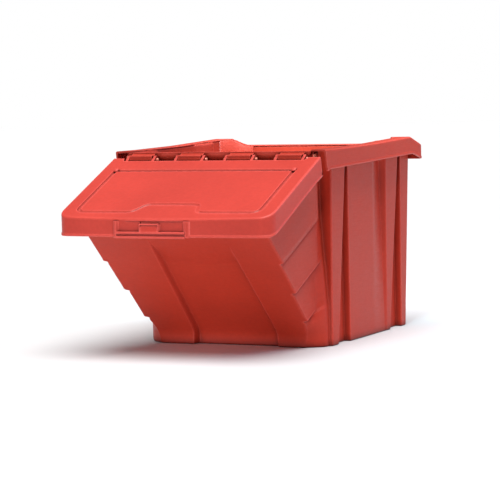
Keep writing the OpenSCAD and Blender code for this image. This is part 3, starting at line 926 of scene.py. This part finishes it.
def principled(name):
    material = bpy.data.materials.new(name)
    material.use_nodes = True
    return material, material.node_tree, material.node_tree.nodes["Principled BSDF"]


class Nodes:
    """Short hand for adding shader nodes to a tree."""

    def __init__(self, tree):
        self.tree = tree

    def add(self, kind, settings=None, **inputs):
        node = self.tree.nodes.new(kind)
        for key, value in (settings or {}).items():
            setattr(node, key, value)
        for key, value in inputs.items():
            self.feed(node.inputs[key.replace("_", " ")], value)
        return node

    def feed(self, socket, value):
        if isinstance(value, bpy.types.NodeSocket):
            self.tree.links.new(value, socket)
        else:
            socket.default_value = value

    def noise(self, place, scale, detail, roughness=0.5):
        node = self.add("ShaderNodeTexNoise", Vector=place, Scale=scale, Detail=detail, Roughness=roughness)
        return node.outputs["Fac"]

    def ranged(self, value, low, high, to_low, to_high):
        node = self.add("ShaderNodeMapRange", Value=value, From_Min=low, From_Max=high, To_Min=to_low,
                        To_Max=to_high)
        return node.outputs["Result"]

    def maths(self, kind, a, b):
        node = self.add("ShaderNodeMath", {"operation": kind})
        self.feed(node.inputs[0], a)
        self.feed(node.inputs[1], b)
        return node.outputs["Value"]

    def blend(self, factor, a, b, kind="MIX"):
        node = self.add("ShaderNodeMix", {"data_type": "RGBA", "blend_type": kind})
        self.feed(node.inputs[0], factor)
        self.feed(node.inputs[6], a)
        self.feed(node.inputs[7], b)
        return node.outputs[2]


def moulded_plastic(name, colour, roughness, grain, edge_gain, shade, shine):
    """Satin polypropylene: mottled colour, fine grain, scuffs, a painted highlight on edges and painted
    shade in hollows.

    The edge gain is how pale the painted edge highlight gets; shade is how much colour the painted shade
    leaves in the deepest hollows.
    """
    material, tree, shader = principled(name)
    nodes = Nodes(tree)
    place = nodes.add("ShaderNodeTexCoord").outputs["Object"]
    cloud = nodes.noise(place, 9, 3)
    speck = nodes.noise(place, 160, 4)
    stretched = nodes.add("ShaderNodeMapping", Vector=place, Scale=(40, 14, 220)).outputs["Vector"]
    scuff = nodes.noise(stretched, 3, 5, 0.7)
    mottle = nodes.maths("MULTIPLY", nodes.ranged(cloud, 0.3, 0.7, 0.94, 1.06),
                         nodes.ranged(speck, 0.3, 0.7, 0.96, 1.04))

    dark = nodes.blend(1.0, (*colour, 1), mottle, "MULTIPLY")
    # Paler colour for the painted highlight on convex edges.
    pale = tuple(min(c * HIGHLIGHT_GAIN + HIGHLIGHT_LIFT, 1) for c in colour) + (1,)
    soft_normal = nodes.add("ShaderNodeBevel", {"samples": 4}, Radius=ROUNDING).outputs["Normal"]
    hard_normal = nodes.add("ShaderNodeNewGeometry").outputs["Normal"]
    turned = nodes.add("ShaderNodeVectorMath", {"operation": "DOT_PRODUCT"})
    nodes.feed(turned.inputs[0], soft_normal)
    nodes.feed(turned.inputs[1], hard_normal)
    edge = nodes.ranged(turned.outputs["Value"], *ROUNDING_RANGE, 0, edge_gain)
    hollow = nodes.add("ShaderNodeAmbientOcclusion", {"samples": 6}, Distance=SHADE_REACH)
    open_air = hollow.outputs["AO"]
    # Painted highlight: convex edges turn pale, patchy with the scuff noise and kept out of hollows.
    edge_highlight = nodes.maths("MULTIPLY", edge, nodes.ranged(scuff, 0.35, 0.6, 0.45, 1))
    edge_highlight = nodes.maths("MULTIPLY", edge_highlight, nodes.ranged(open_air, *HIGHLIGHT_AIR, 0, 1))
    colour_out = nodes.blend(edge_highlight, dark, pale)
    # Painted shade: ambient occlusion darkens the base colour in hollows and creases.
    shaded = nodes.ranged(open_air, *SHADE_AIR, shade, 1)
    nodes.feed(shader.inputs["Base Color"], nodes.blend(1.0, colour_out, shaded, "MULTIPLY"))

    rough = nodes.maths("ADD", nodes.ranged(scuff, 0.3, 0.75, roughness - 0.06, roughness + 0.1),
                        nodes.ranged(cloud, 0.3, 0.7, -0.03, 0.03))
    nodes.feed(shader.inputs["Roughness"], rough)
    shader.inputs["IOR"].default_value = 1.49
    shader.inputs["Specular IOR Level"].default_value = shine
    grit = nodes.noise(place, 900, 3)
    wave = nodes.noise(place, 22, 2)
    fine = nodes.add("ShaderNodeBump", Strength=grain, Distance=0.0004, Height=grit)
    broad = nodes.add("ShaderNodeBump", Strength=0.12, Distance=0.003, Height=wave,
                      Normal=fine.outputs["Normal"])
    nodes.feed(shader.inputs["Normal"], broad.outputs["Normal"])
    return material


CAD_EDGE = 0.5


def soften_cad(node, width):
    """Small rounded edges on a part that is shown as it was packed."""
    flat = node.modifiers.new("flatten", "DECIMATE")
    flat.decimate_type = "DISSOLVE"
    flat.angle_limit = math.radians(1.0)
    bevel = node.modifiers.new("bevel", "BEVEL")
    bevel.width = width * MM
    bevel.segments = 2
    bevel.limit_method = "ANGLE"
    bevel.angle_limit = math.radians(35)
    bevel.harden_normals = False
    node.data.polygons.foreach_set("use_smooth", [True] * len(node.data.polygons))
    weighted = node.modifiers.new("weighted", "WEIGHTED_NORMAL")
    weighted.weight = 80


def build_stage():
    """Plain pale floor with a faint paper tone."""
    bpy.ops.mesh.primitive_plane_add(size=30)
    floor = bpy.context.object
    floor.name = "floor"
    material, tree, shader = principled("floor_paper")
    nodes = Nodes(tree)
    place = nodes.add("ShaderNodeTexCoord").outputs["Object"]
    tone = nodes.ranged(nodes.noise(place, 3, 3), 0.3, 0.7, FLOOR_TONE - 0.01, FLOOR_TONE + 0.01)
    nodes.feed(shader.inputs["Base Color"], tone)
    shader.inputs["Roughness"].default_value = 0.95
    floor.data.materials.append(material)


def hang_lamp(name, kind, power, colour, place, target):
    """A lamp at place that shines towards target."""
    lamp = bpy.data.lights.new(name, kind)
    lamp.energy = power
    lamp.color = colour
    thing = bpy.data.objects.new(name, lamp)
    thing.location = place
    thing.rotation_euler = (Vector(target) - Vector(place)).to_track_quat("-Z", "Y").to_euler()
    bpy.context.scene.collection.objects.link(thing)
    return lamp


def area_light(name, place, target, size, power, colour):
    lamp = hang_lamp(name, "AREA", power, colour, place, target)
    lamp.shape = "RECTANGLE"
    lamp.size, lamp.size_y = size


def sun(name, towards, power, angle, colour):
    lamp = hang_lamp(name, "SUN", power, colour, (0, 0, 0), towards)
    lamp.angle = math.radians(angle)


def spot(name, place, target, angle, power, colour):
    lamp = hang_lamp(name, "SPOT", power, colour, place, target)
    lamp.spot_size = math.radians(angle)
    lamp.spot_blend = 0.9
    lamp.shadow_soft_size = 0.15


def build_lights():
    """A white surround for the camera, a dimmer one for the light it gives, and soft lamps."""
    world = bpy.data.worlds.new("studio")
    world.use_nodes = True
    nodes = Nodes(world.node_tree)
    background = world.node_tree.nodes["Background"]
    seen = nodes.add("ShaderNodeLightPath").outputs["Is Camera Ray"]
    nodes.feed(background.inputs["Strength"], nodes.ranged(seen, 0, 1, 0.22, 1.0))
    nodes.feed(background.inputs["Color"], nodes.blend(seen, (0.9, 0.95, 1, 1), (1, 1, 1, 1)))
    bpy.context.scene.world = world
    sun("overhead", (-0.15, 0.28, -1), 4.3, 45, LAMP_WHITE)
    spot("low_front", (-0.15, -1.6, 0.05), (-0.05, -0.1, 0), 14, 74, (1, 1.15, 1.2))
    spot("inside", (0.19, -0.25, 0.95), (-0.03, 0.28, 0.31), 34, 92, (0.62, 1, 1.1))
    area_light("side", (2.6, 1.6, 1.3), (0.1, 0.1, 0.2), (1.4, 1.6), 20, (0.45, 0.6, 1))


# The camera stands where the photograph's did; place in metres, lens and sensor in millimetres.
CAMERA_PLACE = Vector((1.6852, -3.3288, 0.4543))
CAMERA_YAW, CAMERA_PITCH, CAMERA_ROLL = [math.radians(angle) for angle in (26.80, -4.54, -1.495)]
CAMERA_LENS, CAMERA_SENSOR = 155.48, 36


def build_camera():
    forward = Vector((-math.sin(CAMERA_YAW) * math.cos(CAMERA_PITCH),
                      math.cos(CAMERA_YAW) * math.cos(CAMERA_PITCH), math.sin(CAMERA_PITCH)))
    level = Vector((math.cos(CAMERA_YAW), math.sin(CAMERA_YAW), 0))
    upward = level.cross(forward)
    right = level * math.cos(CAMERA_ROLL) + upward * math.sin(CAMERA_ROLL)
    up = upward * math.cos(CAMERA_ROLL) - level * math.sin(CAMERA_ROLL)
    data = bpy.data.cameras.new("camera")
    data.lens = CAMERA_LENS
    data.sensor_width = CAMERA_SENSOR
    camera = bpy.data.objects.new("camera", data)
    turned = Matrix((right, up, -forward)).transposed().to_4x4()
    camera.matrix_world = Matrix.Translation(CAMERA_PLACE) @ turned
    bpy.context.scene.collection.objects.link(camera)
    bpy.context.scene.camera = camera


bpy.context.scene.view_settings.view_transform = "Standard"

bin_plastic = moulded_plastic("bin_plastic", (0.50, 0.037, 0.018), 0.42, 0.2, 0.9, 0.25, 0.22)
# Lid plastic: the bin's red painted lighter and paler, as painted light and sheen on the lid's top.
lid_plastic = moulded_plastic("lid_plastic", (0.57, 0.050, 0.034), 0.4, 0.2, 0.9, 0.2, 0.25)
# Pegs are red plastic; their much lighter red is a painted highlight for the glint on their domed ends.
peg_plastic = moulded_plastic("peg_plastic", (0.85, 0.22, 0.15), 0.28, 0.1, 0.5, 0.9, 0.5)

build_tub(bin_plastic)
build_rim(bin_plastic)
build_ear_gussets(bin_plastic)
build_mouth_flange(bin_plastic)
build_lid(lid_plastic)
build_bumps(lid_plastic)
build_hinge_tabs(lid_plastic)
build_latch_frame(lid_plastic)
build_latch_tab(lid_plastic)
build_rail_lip(bin_plastic)
build_knuckle_covers(bin_plastic)
build_peg_heads(peg_plastic)
for name, node in frame["nodes"].items():
    node.data.materials.clear()
    node.data.materials.append(peg_plastic if "pin" in name or "rivet" in name else bin_plastic)
    if name not in REMODELLED:
        soften_cad(node, CAD_EDGE)
build_stage()
build_lights()
build_camera()
